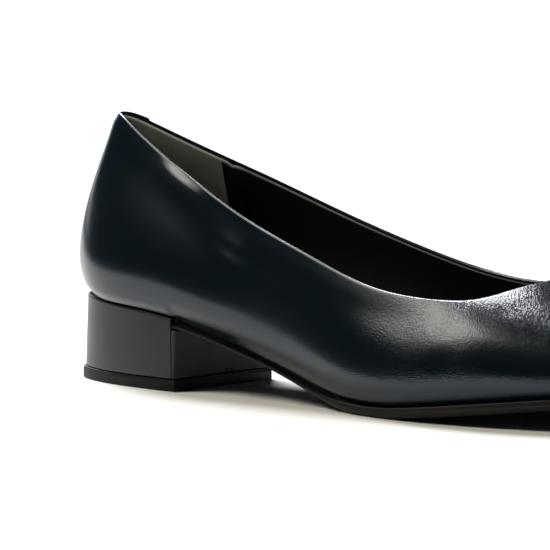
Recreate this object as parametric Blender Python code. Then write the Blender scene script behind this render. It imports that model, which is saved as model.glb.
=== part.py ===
"""Block heel pump, right shoe: hollow upper, insole, outsole, block heel, breast cover and top lift.

Sizes are millimetres and become metres when a mesh is made. X runs from the heel to the toe, +Y is the
inner side of the right foot, +Z is up and the floor is Z = 0. The origin is on the floor under the heel,
SEAT_TO_ORIGIN in front of the back of the seat. Distances in the tables start at the back of the seat.
"""
from collections import namedtuple

import bmesh
import bpy
import numpy as np

MM = 0.001

# Main sizes
LENGTH = 250.0          # seat back to toe tip, along the bottom edge of the upper
BALL_WIDTH = 80.0       # bottom edge of the upper across the ball of the foot
SEAT_HEIGHT = 29.5      # bottom edge of the upper at the back
BALL_HEIGHT = 3.6       # bottom edge of the upper where the sole lies on the floor
BACK_WALL = 59.9        # upper from its bottom edge to the collar at the back
INSTEP_WALL = 34.5      # upper from its bottom edge to the collar at the throat
WALL = 1.6              # leather and lining of the upper
MARGIN = 8.0            # upper turned in under the insole
SEAT_TO_ORIGIN = 30.0   # back of the seat to the origin
GAP = 0.3               # between neighbouring pieces

# Bottom rounding of the upper and the rolled edge of its collar
TURN_IN = 1.3
TURN_UP = 0.35
ROLL = 0.7
ROLL_SHOULDER = 0.15    # share of the wall where the rolled edge starts to turn
SHOULDER_HEIGHT = 0.6   # share of ROLL that it has reached there

# Where the skin and the lining start above the bottom edge, as shares of the way to the collar
SKIN_START = 0.05
LINING_START = 0.12
LINING_CORNER = 0.2     # room between the lining's foot and the inside of the margin

# The margin runs in toward the line between these two distances, at most this share of the way
MARGIN_ENDS = (15.0, 228.0)
MARGIN_SHARE = 0.62

# Back lap: the outer quarter comes round the back and ends over the inner quarter
LAP_STATION = 24.45
LAP_REACH = 1.7
LAP_STEP = 0.8
LAP_EDGE = 0.02
LAP_FADE = 0.8

# Insole and outsole
INSOLE_THICK = 2.4
INSOLE_INSET = 2.2
INSOLE_BEVEL = 1.0
SOLE_BEVEL = 0.15       # bevel of the outsole's lower edge, as a share of its thickness

# Heel block, breast cover and top lift
LIFT_THICK = 3.9
LIFT_STEP = 0.35
LIFT_STEP_UP = 3.1
RIM_WIDTH = 1.2
RIM_GAP = 0.45
PLAN_CENTRE = 80.0      # centre of the heel's plan curve, measured from the back of the seat
PLAN_POWER = 2.15
COVER_FRONT = 59.5
COVER_BEVEL = 0.5

# Mesh counts
COLUMNS = 104
SKIN_ROWS = 16
LINING_ROWS = 12
ACROSS = 4
HEEL_POINTS = 41
CURVE_POINTS = 1040
NORMAL_STEP = 0.002

# A row per section from the back to the toe tip. Distances are shares of LENGTH and reaches are shares
# of half BALL_WIDTH. The wall columns run from 0, as high as the throat, to 1, as high as the back.
Section = namedtuple("Section", "edge_at edge_outer edge_inner collar_at collar_outer collar_inner "
                                "wall_outer wall_inner")
SECTIONS = (
    Section(0.010, 0.000, 0.000, 0.055, 0.000, 0.000, 1.000, 1.000),
    Section(0.034, 0.212, 0.212, 0.070, 0.092, 0.092, 0.985, 0.985),
    Section(0.088, 0.458, 0.458, 0.112, 0.195, 0.195, 0.826, 0.838),
    Section(0.168, 0.580, 0.575, 0.180, 0.328, 0.332, 0.571, 0.595),
    Section(0.256, 0.625, 0.590, 0.264, 0.472, 0.482, 0.343, 0.383),
    Section(0.356, 0.636, 0.520, 0.360, 0.595, 0.608, 0.226, 0.264),
    Section(0.458, 0.716, 0.588, 0.460, 0.688, 0.698, 0.170, 0.195),
    Section(0.560, 0.888, 0.798, 0.556, 0.755, 0.770, 0.048, 0.100),
    Section(0.656, 0.988, 0.960, 0.640, 0.770, 0.780, -0.100, -0.034),
    Section(0.756, 0.952, 0.998, 0.712, 0.680, 0.685, -0.176, -0.100),
    Section(0.852, 0.790, 0.890, 0.747, 0.435, 0.462, -0.090, -0.062),
    Section(0.932, 0.520, 0.680, 0.762, 0.218, 0.275, -0.037, -0.020),
    Section(0.982, 0.238, 0.405, 0.768, 0.055, 0.180, -0.008, -0.004),
    Section(1.000, -0.075, 0.075, 0.769, -0.062, 0.062, 0.000, 0.000),
)

# Fullness of the upper at the same sections: how far the skin leans out and up from the bottom edge, and
# out and down from the collar.
Fullness = namedtuple("Fullness", "low_outer low_inner low_up high_out high_down")
FULLNESS = (
    Fullness(8.1, 8.1, 15.8, 6.9, 19.8),
    Fullness(8.6, 8.6, 16.2, 6.0, 20.4),
    Fullness(7.6, 7.6, 15.7, 6.0, 19.8),
    Fullness(6.7, 6.7, 14.9, 6.4, 17.9),
    Fullness(6.5, 7.2, 15.0, 4.2, 17.0),
    Fullness(6.5, 9.0, 14.0, 4.0, 15.0),
    Fullness(6.0, 8.0, 13.0, 4.0, 12.0),
    Fullness(6.0, 6.2, 12.0, 5.0, 10.0),
    Fullness(5.6, 5.6, 12.0, 7.5, 8.5),
    Fullness(4.6, 4.6, 12.0, 13.0, 7.5),
    Fullness(3.8, 3.8, 12.0, 19.0, 7.5),
    Fullness(3.4, 3.4, 12.0, 22.0, 8.5),
    Fullness(3.2, 3.2, 12.0, 23.0, 9.0),
    Fullness(3.2, 3.2, 12.0, 23.5, 9.0),
)

# Bottom edge of the upper along the shoe: share of LENGTH, and height from 0 at the ball to 1 at the back
Rise = namedtuple("Rise", "at height")
BOTTOM = (
    Rise(0.000, 1.000),
    Rise(0.096, 0.915),
    Rise(0.180, 0.853),
    Rise(0.264, 0.722),
    Rise(0.344, 0.506),
    Rise(0.432, 0.263),
    Rise(0.520, 0.052),
    Rise(0.600, 0.000),
    Rise(0.680, 0.064),
    Rise(0.800, 0.196),
    Rise(1.000, 0.382),
)

# Outsole along the shoe: share of LENGTH, reach past the bottom edge of the upper, and thickness
SoleRow = namedtuple("SoleRow", "at reach thick")
SOLE = (
    SoleRow(0.00, -3.6, 0.8),
    SoleRow(0.20, -3.4, 0.8),
    SoleRow(0.24, -1.6, 2.2),
    SoleRow(0.38, -1.2, 1.5),
    SoleRow(0.48, -0.4, 2.8),
    SoleRow(0.56, 0.9, 3.6),
    SoleRow(1.00, 1.1, 3.6),
)

# Heel plan at each level: how far its back, its front and its half width lie from the seat back and axis
Plan = namedtuple("Plan", "back front half")
BLOCK_TOP = Plan(4.2, 57.4, 24.4)
BLOCK_FOOT = Plan(3.2, 58.1, 24.9)
LIFT = Plan(1.9, 59.5, 25.0)


def periodic_spline(table, samples):
    """Smooth closed curve through the rows of a table, read at the given row numbers."""
    count = len(table)
    ring = 4 * np.eye(count) + np.roll(np.eye(count), 1, 0) + np.roll(np.eye(count), -1, 0)
    bend = np.linalg.solve(ring, 6 * (np.roll(table, -1, 0) - 2 * table + np.roll(table, 1, 0)))
    low = np.floor(samples).astype(int) % count
    high = (low + 1) % count
    part = (samples - np.floor(samples))[:, None]
    rest = 1 - part
    curve = (rest**3 - rest) * bend[low] + (part**3 - part) * bend[high]
    return rest * table[low] + part * table[high] + curve / 6


def natural_spline(knots, values, at):
    """Smooth open curve through values at knots, with straight ends, read at the given places."""
    count = len(knots)
    step = np.diff(knots)
    matrix = np.eye(count)
    slopes = np.diff(values) / step
    right = np.zeros(count)
    for row in range(1, count - 1):
        matrix[row, row - 1:row + 2] = step[row - 1], 2 * (step[row - 1] + step[row]), step[row]
        right[row] = 6 * (slopes[row] - slopes[row - 1])
    bend = np.linalg.solve(matrix, right)
    at = np.clip(at, knots[0], knots[-1])
    low = np.clip(np.searchsorted(knots, at) - 1, 0, count - 2)
    part = (at - knots[low]) / step[low]
    rest = 1 - part
    curve = (rest**3 - rest) * bend[low] + (part**3 - part) * bend[low + 1]
    return rest * values[low] + part * values[low + 1] + step[low]**2 * curve / 6


def edge_height(x):
    """Height of the bottom edge of the upper at a distance from the seat back."""
    rows = np.array(BOTTOM)
    heights = BALL_HEIGHT + rows[:, 1] * (SEAT_HEIGHT - BALL_HEIGHT)
    return natural_spline(rows[:, 0] * LENGTH, heights, x)


def station_table():
    """Closed table, a row per station: back, outer side to the toe tip, then inner side to the back."""
    sections = np.array(SECTIONS)
    full = np.array(FULLNESS)
    half = BALL_WIDTH / 2
    wall = INSTEP_WALL + sections[:, 6:8] * (BACK_WALL - INSTEP_WALL)
    collar_x = sections[:, 3] * LENGTH
    sides = []
    for side, sign in ((0, -1), (1, 1)):
        columns = (
            sections[:, 0] * LENGTH,
            sign * sections[:, 1 + side] * half,
            collar_x,
            sign * sections[:, 4 + side] * half,
            edge_height(collar_x) + wall[:, side],
            full[:, side],
            full[:, 2],
            full[:, 3],
            full[:, 4],
        )
        sides.append(np.column_stack(columns))
    return np.vstack([sides[0], sides[1][-2:0:-1]])


def outward(loop):
    """Plan normal of a closed loop, pointing away from the foot."""
    along = np.roll(loop, -1, 0) - np.roll(loop, 1, 0)
    normal = np.column_stack([along[:, 1], -along[:, 0], np.zeros(len(loop))])
    return normal / np.linalg.norm(normal, axis=1, keepdims=True)


def control_loops(stations):
    """Bottom edge, its handle, the collar's handle and the collar, at the given stations."""
    dense = np.linspace(0, len(station_table()), CURVE_POINTS, endpoint=False)
    rows = periodic_spline(station_table(), dense)
    edge = np.column_stack([rows[:, 0], rows[:, 1], edge_height(rows[:, 0])])
    collar = rows[:, 2:5]
    up = np.array([0.0, 0.0, 1.0])
    low = edge + outward(edge) * rows[:, 5:6] + up * rows[:, 6:7]
    high = collar + outward(collar) * rows[:, 7:8] - up * rows[:, 8:9]
    spots = np.append(dense, dense[0] + len(station_table()))
    loops = []
    for loop in (edge, low, high, collar):
        closed = np.vstack([loop, loop[:1]])
        loops.append(np.column_stack([np.interp(stations, spots, closed[:, axis]) for axis in range(3)]))
    return loops


def skin(stations, shares):
    """Outer face of the upper: a cubic from the bottom edge, share 0, to the collar, share 1."""
    edge, low, high, collar = (loop[:, None] for loop in control_loops(stations))
    share = shares[None, :, None]
    rest = 1 - share
    return rest**3 * edge + 3 * rest**2 * share * low + 3 * rest * share**2 * high + share**3 * collar


def skin_normal(stations, shares):
    """Unit normal of the skin, from small steps along and across it."""
    along = skin(stations + NORMAL_STEP, shares) - skin(stations - NORMAL_STEP, shares)
    across = skin(stations, shares + NORMAL_STEP) - skin(stations, shares - NORMAL_STEP)
    normal = np.cross(along, across)
    return normal / np.linalg.norm(normal, axis=2, keepdims=True)


def even_stations():
    """Stations of the soles' columns, with equal numbers on both sides of the shoe."""
    return np.linspace(0, len(station_table()), COLUMNS, endpoint=False)


def on_height(points, height):
    """Copy of plan points lifted to a height worked out from their distance along the shoe."""
    lifted = points.copy()
    lifted[:, 2] = height(points[:, 0])
    return lifted


def toward_axis(loop, reach):
    """Loop moved in toward a straight line between the two margin ends, by reach or most of the way."""
    axis = np.column_stack([np.clip(loop[:, 0], *MARGIN_ENDS), np.zeros(len(loop)), loop[:, 2]])
    room = np.linalg.norm(axis - loop, axis=1, keepdims=True)
    return loop + (axis - loop) * np.minimum(reach / room, MARGIN_SHARE)


def lap_offset(stations):
    """Extra thickness at the back: full at the lap's edge, fading round the back to the outer side."""
    past = np.mod(stations - LAP_STATION, len(station_table()))
    return LAP_STEP * np.clip(1 - past / LAP_REACH, 0, 1) ** LAP_FADE


class Solid:
    """Vertices and faces of one closed piece."""

    def __init__(self):
        self.points = []
        self.faces = []

    def loop(self, points):
        """Adds points and returns their numbers."""
        first = len(self.points)
        self.points.extend(points)
        return list(range(first, first + len(points)))

    def band(self, one, two, closed):
        """Joins two equal loops with a strip of quads."""
        count = len(one) if closed else len(one) - 1
        for i in range(count):
            j = (i + 1) % len(one)
            self.faces.append((one[i], one[j], two[j], two[i]))

    def lid(self, loop, height, closed):
        """Closes a loop with straight rungs that join its two sides, each point at its own height.

        A closed loop starts at the back and has a tip half way round. An open one starts at its front
        and has the back half way along.
        """
        count = len(loop)
        pairs = [(i, count - i) if closed else (i, count - 1 - i) for i in range(count // 2 + 1)]
        pairs = [(i, j % count) for i, j in pairs]
        rungs = []
        for i, j in pairs:
            if i == j:
                rungs.append([loop[i]] * (ACROSS + 1))
                continue
            share = np.linspace(0, 1, ACROSS + 1)[1:-1, None]
            inner = self.points[loop[i]] * (1 - share) + self.points[loop[j]] * share
            rungs.append([loop[i]] + self.loop(on_height(inner, height)) + [loop[j]])
        for one, two in zip(rungs, rungs[1:]):
            for i in range(ACROSS):
                face = (one[i], one[i + 1], two[i + 1], two[i])
                self.faces.append(tuple(dict.fromkeys(face)))
        return rungs[0]

    def build(self, name, material):
        """Makes the object, with triangles that face outward."""
        mesh = bpy.data.meshes.new(name)
        places = (np.array(self.points) - (SEAT_TO_ORIGIN, 0, 0)) * MM
        mesh.from_pydata(places.tolist(), [], self.faces)
        work = bmesh.new()
        work.from_mesh(mesh)
        bmesh.ops.triangulate(work, faces=work.faces)
        bmesh.ops.recalc_face_normals(work, faces=work.faces)
        work.to_mesh(mesh)
        work.free()
        mesh.materials.append(material)
        item = bpy.data.objects.new(name, mesh)
        bpy.context.scene.collection.objects.link(item)
        return item


def make_material(name, colour, roughness):
    """Plain surface with one colour and one roughness."""
    material = bpy.data.materials.new(name)
    material.use_nodes = True
    shader = material.node_tree.nodes["Principled BSDF"]
    shader.inputs["Base Color"].default_value = (*colour, 1.0)
    shader.inputs["Roughness"].default_value = roughness
    shader.inputs["Metallic"].default_value = 0.0
    material.diffuse_color = (*colour, 1.0)
    return material


def make_upper():
    """Hollow upper: a ring of sections, each one a closed strip of leather with its turned-in margin."""
    lap = [LAP_STATION - LAP_EDGE, LAP_STATION + LAP_EDGE]
    stations = np.sort(np.concatenate([even_stations(), lap]))
    edge = control_loops(stations)[0]
    away = outward(edge)
    up = np.array([0.0, 0.0, 1.0])

    outer_shares = np.linspace(SKIN_START, 1, SKIN_ROWS)
    outer = skin(stations, outer_shares)
    outer += skin_normal(stations, outer_shares) * lap_offset(stations)[:, None, None]

    inner_shares = np.linspace(1, LINING_START, LINING_ROWS)
    inner = skin(stations, inner_shares) - skin_normal(stations, inner_shares) * WALL

    run = skin(stations, np.array([1.0 - NORMAL_STEP, 1.0]))
    run = run[:, 1] - run[:, 0]
    run /= np.linalg.norm(run, axis=1, keepdims=True)
    rolled = []
    for share, height in ((ROLL_SHOULDER, SHOULDER_HEIGHT), (0.5, 1.0), (1 - ROLL_SHOULDER, SHOULDER_HEIGHT)):
        rolled.append(outer[:, -1] * (1 - share) + inner[:, 0] * share + run * ROLL * height)

    under = on_height(edge - away * TURN_IN, edge_height)
    turn = edge - away * TURN_UP + up * TURN_UP
    margin_low = on_height(toward_axis(edge, MARGIN + WALL), edge_height)
    margin_high = margin_low + up * WALL
    corner = on_height(edge - away * (WALL + LINING_CORNER), edge_height) + up * WALL

    solid = Solid()
    rows = [under, turn]
    rows += [outer[:, row] for row in range(SKIN_ROWS)]
    rows += rolled
    rows += [inner[:, row] for row in range(LINING_ROWS)]
    rows += [corner, margin_high, margin_low]
    loops = [solid.loop(row) for row in rows]
    for one, two in zip(loops, loops[1:] + loops[:1]):
        solid.band(one, two, True)
    return solid.build("upper", make_material("navy smooth leather", (0.020, 0.027, 0.040), 0.36))


def make_insole():
    """Insole board with its sock, lying on the turned-in margin of the upper."""
    edge = control_loops(even_stations())[0]
    away = outward(edge)
    outline = edge - away * INSOLE_INSET
    top_line = outline - away * INSOLE_BEVEL
    lift = WALL + GAP
    solid = Solid()
    low = solid.loop(on_height(outline, lambda x: edge_height(x) + lift))
    high = solid.loop(on_height(top_line, lambda x: edge_height(x) + lift + INSOLE_THICK))
    solid.band(low, high, True)
    solid.lid(low, lambda x: edge_height(x) + lift, True)
    solid.lid(high, lambda x: edge_height(x) + lift + INSOLE_THICK, True)
    return solid.build("insole", make_material("dark sock leather", (0.025, 0.024, 0.024), 0.6))


def sole_column(x, column):
    """Value of a column of the outsole table at a distance from the seat back."""
    rows = np.array(SOLE)
    return np.interp(x, rows[:, 0] * LENGTH, rows[:, column])


def sole_top(x):
    """Height of the outsole's upper face."""
    return edge_height(x) - GAP


def sole_foot(x):
    """Height of the outsole's lower face, flat on the floor under the ball."""
    return np.maximum(sole_top(x) - sole_column(x, 2), 0.0)


def make_outsole():
    """Outsole: thin over the heel seat, slim in the waist, full under the ball and turned up at the toe."""
    edge = control_loops(even_stations())[0]
    away = outward(edge)
    outline = edge + away * sole_column(edge[:, 0], 1)[:, None]
    bevel = SOLE_BEVEL * sole_column(edge[:, 0], 2)[:, None]
    solid = Solid()
    top = solid.loop(on_height(outline, sole_top))
    side = on_height(outline, sole_foot)
    side[:, 2] += bevel[:, 0]
    side = solid.loop(side)
    foot = solid.loop(on_height(outline - away * bevel, sole_foot))
    solid.band(top, side, True)
    solid.band(side, foot, True)
    solid.lid(top, sole_top, True)
    solid.lid(foot, sole_foot, True)
    return solid.build("outsole", make_material("dark sole rubber", (0.022, 0.018, 0.016), 0.55))


def heel_arc(plan, inset):
    """Plan of the heel as an arc from the outer front corner, round the back, to the inner one."""
    reach = PLAN_CENTRE - plan.back
    ahead = (PLAN_CENTRE - plan.front) / reach
    wide = plan.half / (1 - ahead**PLAN_POWER) ** (1 / PLAN_POWER)
    last = np.arccos(ahead ** (PLAN_POWER / 2))
    angle = np.linspace(-last, last, HEEL_POINTS)
    x = PLAN_CENTRE - reach * np.cos(angle) ** (2 / PLAN_POWER)
    y = wide * np.sign(angle) * np.abs(np.sin(angle)) ** (2 / PLAN_POWER)
    along = np.column_stack([np.gradient(x, angle), np.gradient(y, angle)])
    along /= np.linalg.norm(along, axis=1, keepdims=True)
    x = x + along[:, 1] * inset
    y = y - along[:, 0] * inset
    x[[0, -1]] = plan.front
    y[[0, -1]] = (inset - plan.half, plan.half - inset)
    return np.column_stack([x, y, np.zeros(HEEL_POINTS)])


def rim_top(x):
    """Height of the heel block's rim, just under the bottom edge of the upper."""
    return edge_height(x) - RIM_GAP


def seat_floor(x):
    """Height of the hollow in the heel block that takes the outsole's seat."""
    return sole_foot(x) - GAP


def make_heel_block():
    """Covered heel block: straight sides, a flat breast and a shallow hollow for the outsole's seat."""
    foot_height = LIFT_THICK + GAP
    solid = Solid()
    foot = heel_arc(BLOCK_FOOT, 0.0)
    foot[:, 2] = foot_height
    foot = solid.loop(foot)
    rim_outer = solid.loop(on_height(heel_arc(BLOCK_TOP, 0.0), rim_top))
    rim_inner = solid.loop(on_height(heel_arc(BLOCK_TOP, RIM_WIDTH), rim_top))
    seat = solid.loop(on_height(heel_arc(BLOCK_TOP, RIM_WIDTH), seat_floor))
    solid.band(foot, rim_outer, False)
    solid.band(rim_outer, rim_inner, False)
    solid.band(rim_inner, seat, False)
    front_foot = solid.lid(foot, lambda x: np.full(len(x), foot_height), False)
    front_seat = solid.lid(seat, seat_floor, False)
    breast = front_foot[::-1] + [rim_outer[0], rim_inner[0]] + front_seat
    breast += [rim_inner[-1], rim_outer[-1]]
    solid.faces.append(tuple(breast))
    return solid.build("heel_block", make_material("charcoal covered heel", (0.055, 0.053, 0.060), 0.42))


def make_breast_cover():
    """Strip of covering on the heel's breast, from the top lift up to the outsole."""
    low = LIFT_THICK + GAP
    high = float(sole_foot(np.array([COVER_FRONT]))[0]) - GAP
    solid = Solid()
    loops = []
    for plan, height in ((BLOCK_FOOT, low), (BLOCK_TOP, high)):
        back = plan.front + GAP
        half = plan.half
        front_half = half - COVER_BEVEL
        rows = [(back, -half), (COVER_FRONT - COVER_BEVEL, -half), (COVER_FRONT, -front_half)]
        rows += [(COVER_FRONT, front_half), (COVER_FRONT - COVER_BEVEL, half), (back, half)]
        loops.append(solid.loop(np.array([(x, y, height) for x, y in rows])))
    solid.band(loops[0], loops[1], True)
    solid.faces += [tuple(loops[0]), tuple(loops[1])]
    return solid.build("breast_cover", make_material("dark breast leather", (0.045, 0.045, 0.048), 0.55))


def make_top_lift():
    """Rubber top lift with a small step round its upper edge."""
    levels = ((0.0, 0.0), (0.0, LIFT_STEP_UP), (LIFT_STEP, LIFT_STEP_UP), (LIFT_STEP, LIFT_THICK))
    solid = Solid()
    loops = []
    for inset, height in levels:
        arc = heel_arc(LIFT, inset)
        arc[:, 2] = height
        loops.append(solid.loop(arc))
    for one, two in zip(loops, loops[1:]):
        solid.band(one, two, False)
    front_low = solid.lid(loops[0], lambda x: np.zeros(len(x)), False)
    front_high = solid.lid(loops[-1], lambda x: np.full(len(x), LIFT_THICK), False)
    front = front_low + [loops[1][-1], loops[2][-1]] + front_high[::-1] + [loops[2][0], loops[1][0]]
    solid.faces.append(tuple(front))
    return solid.build("top_lift", make_material("black rubber", (0.012, 0.012, 0.012), 0.6))


def main():
    """Empties the file and builds every piece."""
    for item in list(bpy.data.objects):
        bpy.data.objects.remove(item, do_unlink=True)
    for maker in (make_upper, make_insole, make_outsole, make_heel_block, make_breast_cover, make_top_lift):
        maker()


main()
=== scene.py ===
"""Looks of the block heel pump, right shoe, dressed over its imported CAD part.

Sizes are millimetres and become metres when a mesh is made. X runs from the heel to the toe, +Y is the
inner side of the foot, +Z is up and the floor is Z = 0. Distances along the shoe start at the back of the
seat, which lies 30 mm behind the origin.

Nearly every surface is a function of two parameters: the station, which runs from 0 at the back, round the
outer side to 13 at the toe tip and back along the inner side to 26, and the share, which runs from 0 at the
bottom edge of the upper to 1 at its collar.
"""
import logging
import math
from dataclasses import dataclass, field
from enum import Enum
from typing import Callable, Sequence

import bmesh
import bpy
import numpy as np
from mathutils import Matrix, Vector


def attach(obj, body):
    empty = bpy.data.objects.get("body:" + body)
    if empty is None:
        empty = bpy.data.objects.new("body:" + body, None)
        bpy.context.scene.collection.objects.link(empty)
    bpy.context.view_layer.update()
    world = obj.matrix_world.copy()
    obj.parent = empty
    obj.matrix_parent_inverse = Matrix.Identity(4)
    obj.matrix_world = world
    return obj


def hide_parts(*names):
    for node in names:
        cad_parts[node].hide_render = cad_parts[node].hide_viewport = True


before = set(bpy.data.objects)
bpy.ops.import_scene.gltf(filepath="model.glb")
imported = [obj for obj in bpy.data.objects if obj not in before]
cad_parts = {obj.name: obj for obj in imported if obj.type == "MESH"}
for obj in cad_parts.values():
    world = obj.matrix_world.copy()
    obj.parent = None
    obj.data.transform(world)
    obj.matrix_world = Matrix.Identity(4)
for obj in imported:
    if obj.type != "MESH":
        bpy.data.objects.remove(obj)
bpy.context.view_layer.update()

MM = 0.001
UP = np.array([0.0, 0.0, 1.0])
SEAT_TO_ORIGIN = 30.0
STATIONS = 26
GAP = 0.3
# where the thin waist of the sole grows to its full edge at the ball
BALL_START = (110.0, 142.0)
# side of the square picture in pixels, width of the camera's sensor
PICTURE = 550
SENSOR = 36.0
# small step in stations and shares, for differences
STEP = 0.002

Array = np.ndarray
Colour = tuple[float, float, float]
log = logging.getLogger("pump")


class Piece(Enum):
    """CAD nodes of the shoe."""

    UPPER = "upper"
    INSOLE = "insole"
    OUTSOLE = "outsole"
    HEEL_BLOCK = "heel_block"
    BREAST_COVER = "breast_cover"
    TOP_LIFT = "top_lift"


class Side(Enum):
    """Sides of the right shoe, by the sign of Y."""

    OUTER = -1
    INNER = 1


# ---- curves


def periodic_spline(table: Array, samples: Array) -> Array:
    """Smooth closed curve through the rows of a table.

    Each span is the cubic whose second derivatives solve the ring system 1, 4, 1.

    Args:
        table: a row per knot.
        samples: row numbers, with fractions, where the curve is read.

    Returns:
        A row per sample.
    """
    count = len(table)
    ring = 4 * np.eye(count) + np.roll(np.eye(count), 1, 0) + np.roll(np.eye(count), -1, 0)
    bend = np.linalg.solve(ring, 6 * (np.roll(table, -1, 0) - 2 * table + np.roll(table, 1, 0)))
    low = np.floor(samples).astype(int) % count
    high = (low + 1) % count
    part = (samples - np.floor(samples))[:, None]
    rest = 1 - part
    curve = (rest**3 - rest) * bend[low] + (part**3 - part) * bend[high]
    return rest * table[low] + part * table[high] + curve / 6


def natural_spline(knots: Array, values: Array, at: Array) -> Array:
    """Smooth open curve through values at knots, with straight ends.

    Args:
        knots: places of the values, rising.
        values: a value per knot.
        at: places where the curve is read, held inside the knots.

    Returns:
        A value per place.
    """
    count = len(knots)
    step = np.diff(knots)
    slopes = np.diff(values) / step
    inner = np.arange(1, count - 1)
    matrix = np.eye(count)
    matrix[inner, inner - 1] = step[:-1]
    matrix[inner, inner] = 2 * (step[:-1] + step[1:])
    matrix[inner, inner + 1] = step[1:]
    right = np.zeros(count)
    right[inner] = 6 * np.diff(slopes)
    bend = np.linalg.solve(matrix, right)
    at = np.clip(at, knots[0], knots[-1])
    low = np.clip(np.searchsorted(knots, at) - 1, 0, count - 2)
    part = (at - knots[low]) / step[low]
    rest = 1 - part
    curve = (rest**3 - rest) * bend[low] + (part**3 - part) * bend[low + 1]
    return rest * values[low] + part * values[low + 1] + step[low] ** 2 * curve / 6


def ease(values: Array, start: float, end: float) -> Array:
    """Smooth step: 0 up to start, 1 from end on, 3t^2 - 2t^3 between them."""
    share = np.clip((values - start) / (end - start), 0, 1)
    return share * share * (3 - 2 * share)


def hill(values: Array, centre: float, width: float | Array) -> Array:
    """Soft hill exp(-((v - centre) / width)^2), 1 high."""
    return np.exp(-(((values - centre) / width) ** 2))


def round_station(stations: Array, centre: float = 0.0) -> Array:
    """Signed distance of stations from a centre, going round the ring the shorter way."""
    return np.mod(stations - centre + STATIONS / 2, STATIONS) - STATIONS / 2


def even_stations(count: int) -> Array:
    """Evenly spaced stations round the whole ring."""
    return np.linspace(0, STATIONS, count, endpoint=False)


def walked(*lines: Array) -> Array:
    """Distance walked along a curve up to each of its points, from one array per axis."""
    return np.concatenate([[0], np.cumsum(np.sqrt(sum(np.diff(line) ** 2 for line in lines)))])


def outward(loop: Array) -> Array:
    """Plan normal of a closed loop, away from its inside: the tangent (dx, dy) turned to (dy, -dx).

    Args:
        loop: its points in order.

    Returns:
        A level unit vector per point.
    """
    along = np.roll(loop, -1, 0) - np.roll(loop, 1, 0)
    normal = np.column_stack([along[:, 1], -along[:, 0], np.zeros(len(loop))])
    return normal / np.linalg.norm(normal, axis=1, keepdims=True)


def on_height(points: Array, height: Callable[[Array], Array]) -> Array:
    """Copy of points lifted to a height worked out from their distance along the shoe.

    Args:
        points: the points, which stay as they are.
        height: height at a distance along the shoe.

    Returns:
        The lifted copy.
    """
    lifted = points.copy()
    lifted[..., 2] = height(points[..., 0])
    return lifted


def both_halves(x: Array, y: Array, height: float = 0.0) -> Array:
    """Closed level loop from its outer half, which starts and ends on the axis, mirrored over it."""
    x, y = np.concatenate([x, x[-2:0:-1]]), np.concatenate([y, -y[-2:0:-1]])
    return np.column_stack([x, y, np.full(len(x), height)])


# ---- meshes


def grid_faces(rows: int, columns: int, wrap_rows: bool, wrap_columns: bool) -> Array:
    """Quads of a grid whose point numbers are row * columns + column.

    Args:
        rows: number of rows.
        columns: number of columns.
        wrap_rows: joins the last row to the first.
        wrap_columns: joins the last column to the first.

    Returns:
        Four point numbers per quad.
    """
    i = np.arange(rows if wrap_rows else rows - 1)[:, None]
    j = np.arange(columns if wrap_columns else columns - 1)[None, :]
    i2, j2 = (i + 1) % rows, (j + 1) % columns
    quads = np.stack([i * columns + j, i * columns + j2, i2 * columns + j2, i2 * columns + j], -1)
    return quads.reshape(-1, 4)


def add_object(name: str, data: bpy.types.ID) -> bpy.types.Object:
    """Makes an object of some data at the origin and links it into the scene.

    Args:
        name: the object's name.
        data: its mesh, camera or light.

    Returns:
        The new object.
    """
    item = bpy.data.objects.new(name, data)
    bpy.context.scene.collection.objects.link(item)
    return item


def turn_outward(mesh: bpy.types.Mesh, merge: bool = False, fill: bool = False) -> None:
    """Makes a mesh's faces point outward.

    Args:
        mesh: the mesh, changed in place.
        merge: closes doubled points first.
        fill: closes open ends first.
    """
    work = bmesh.new()
    work.from_mesh(mesh)
    if merge:
        bmesh.ops.remove_doubles(work, verts=work.verts, dist=1e-6)
        bmesh.ops.dissolve_degenerate(work, edges=work.edges, dist=1e-7)
    if fill:
        bmesh.ops.holes_fill(work, edges=[edge for edge in work.edges if edge.is_boundary])
    bmesh.ops.recalc_face_normals(work, faces=work.faces)
    work.to_mesh(mesh)
    work.free()


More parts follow.
